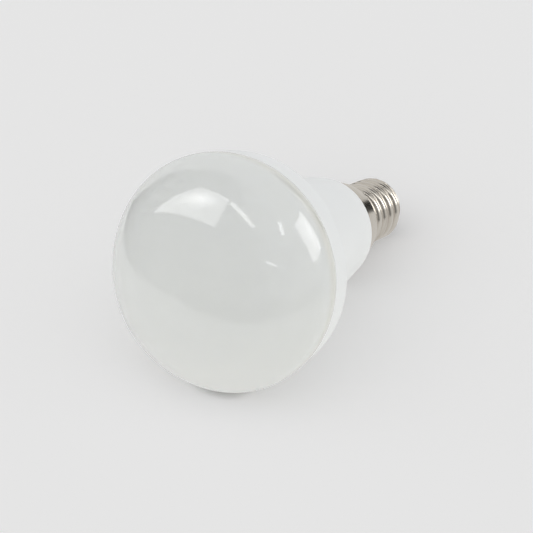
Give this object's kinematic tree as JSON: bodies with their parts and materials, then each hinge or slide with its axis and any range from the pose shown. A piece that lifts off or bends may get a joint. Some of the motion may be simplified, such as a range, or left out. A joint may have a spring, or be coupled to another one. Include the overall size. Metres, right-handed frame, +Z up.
{
  "type": "reflector bulb",
  "caption": "Reflector bulb with a domed opal front, a white flared housing and a small screw cap, lying on its side.",
  "frame": {"origin": "on the surface that the bulb lies on, below the middle of its box", "axes": "+Z up from that surface, +Y from the dome towards the cap, which dips by the angle at which the bulb rests"},
  "size_m": [0.0492, 0.0868, 0.0489],
  "materials": {
    "opal_plastic": "glossy opal",
    "white_plastic": "satin white",
    "plated_shell": "bright nickel plate",
    "dark_insulator": "glossy black",
    "contact_metal": "plain plated metal"
  },
  "bodies": {
    "root": {"diffuser": "opal_plastic", "housing": "white_plastic", "cap_shell": "plated_shell", "cap_insulator": "dark_insulator", "centre_contact": "contact_metal"}
  },
  "joints": []
}
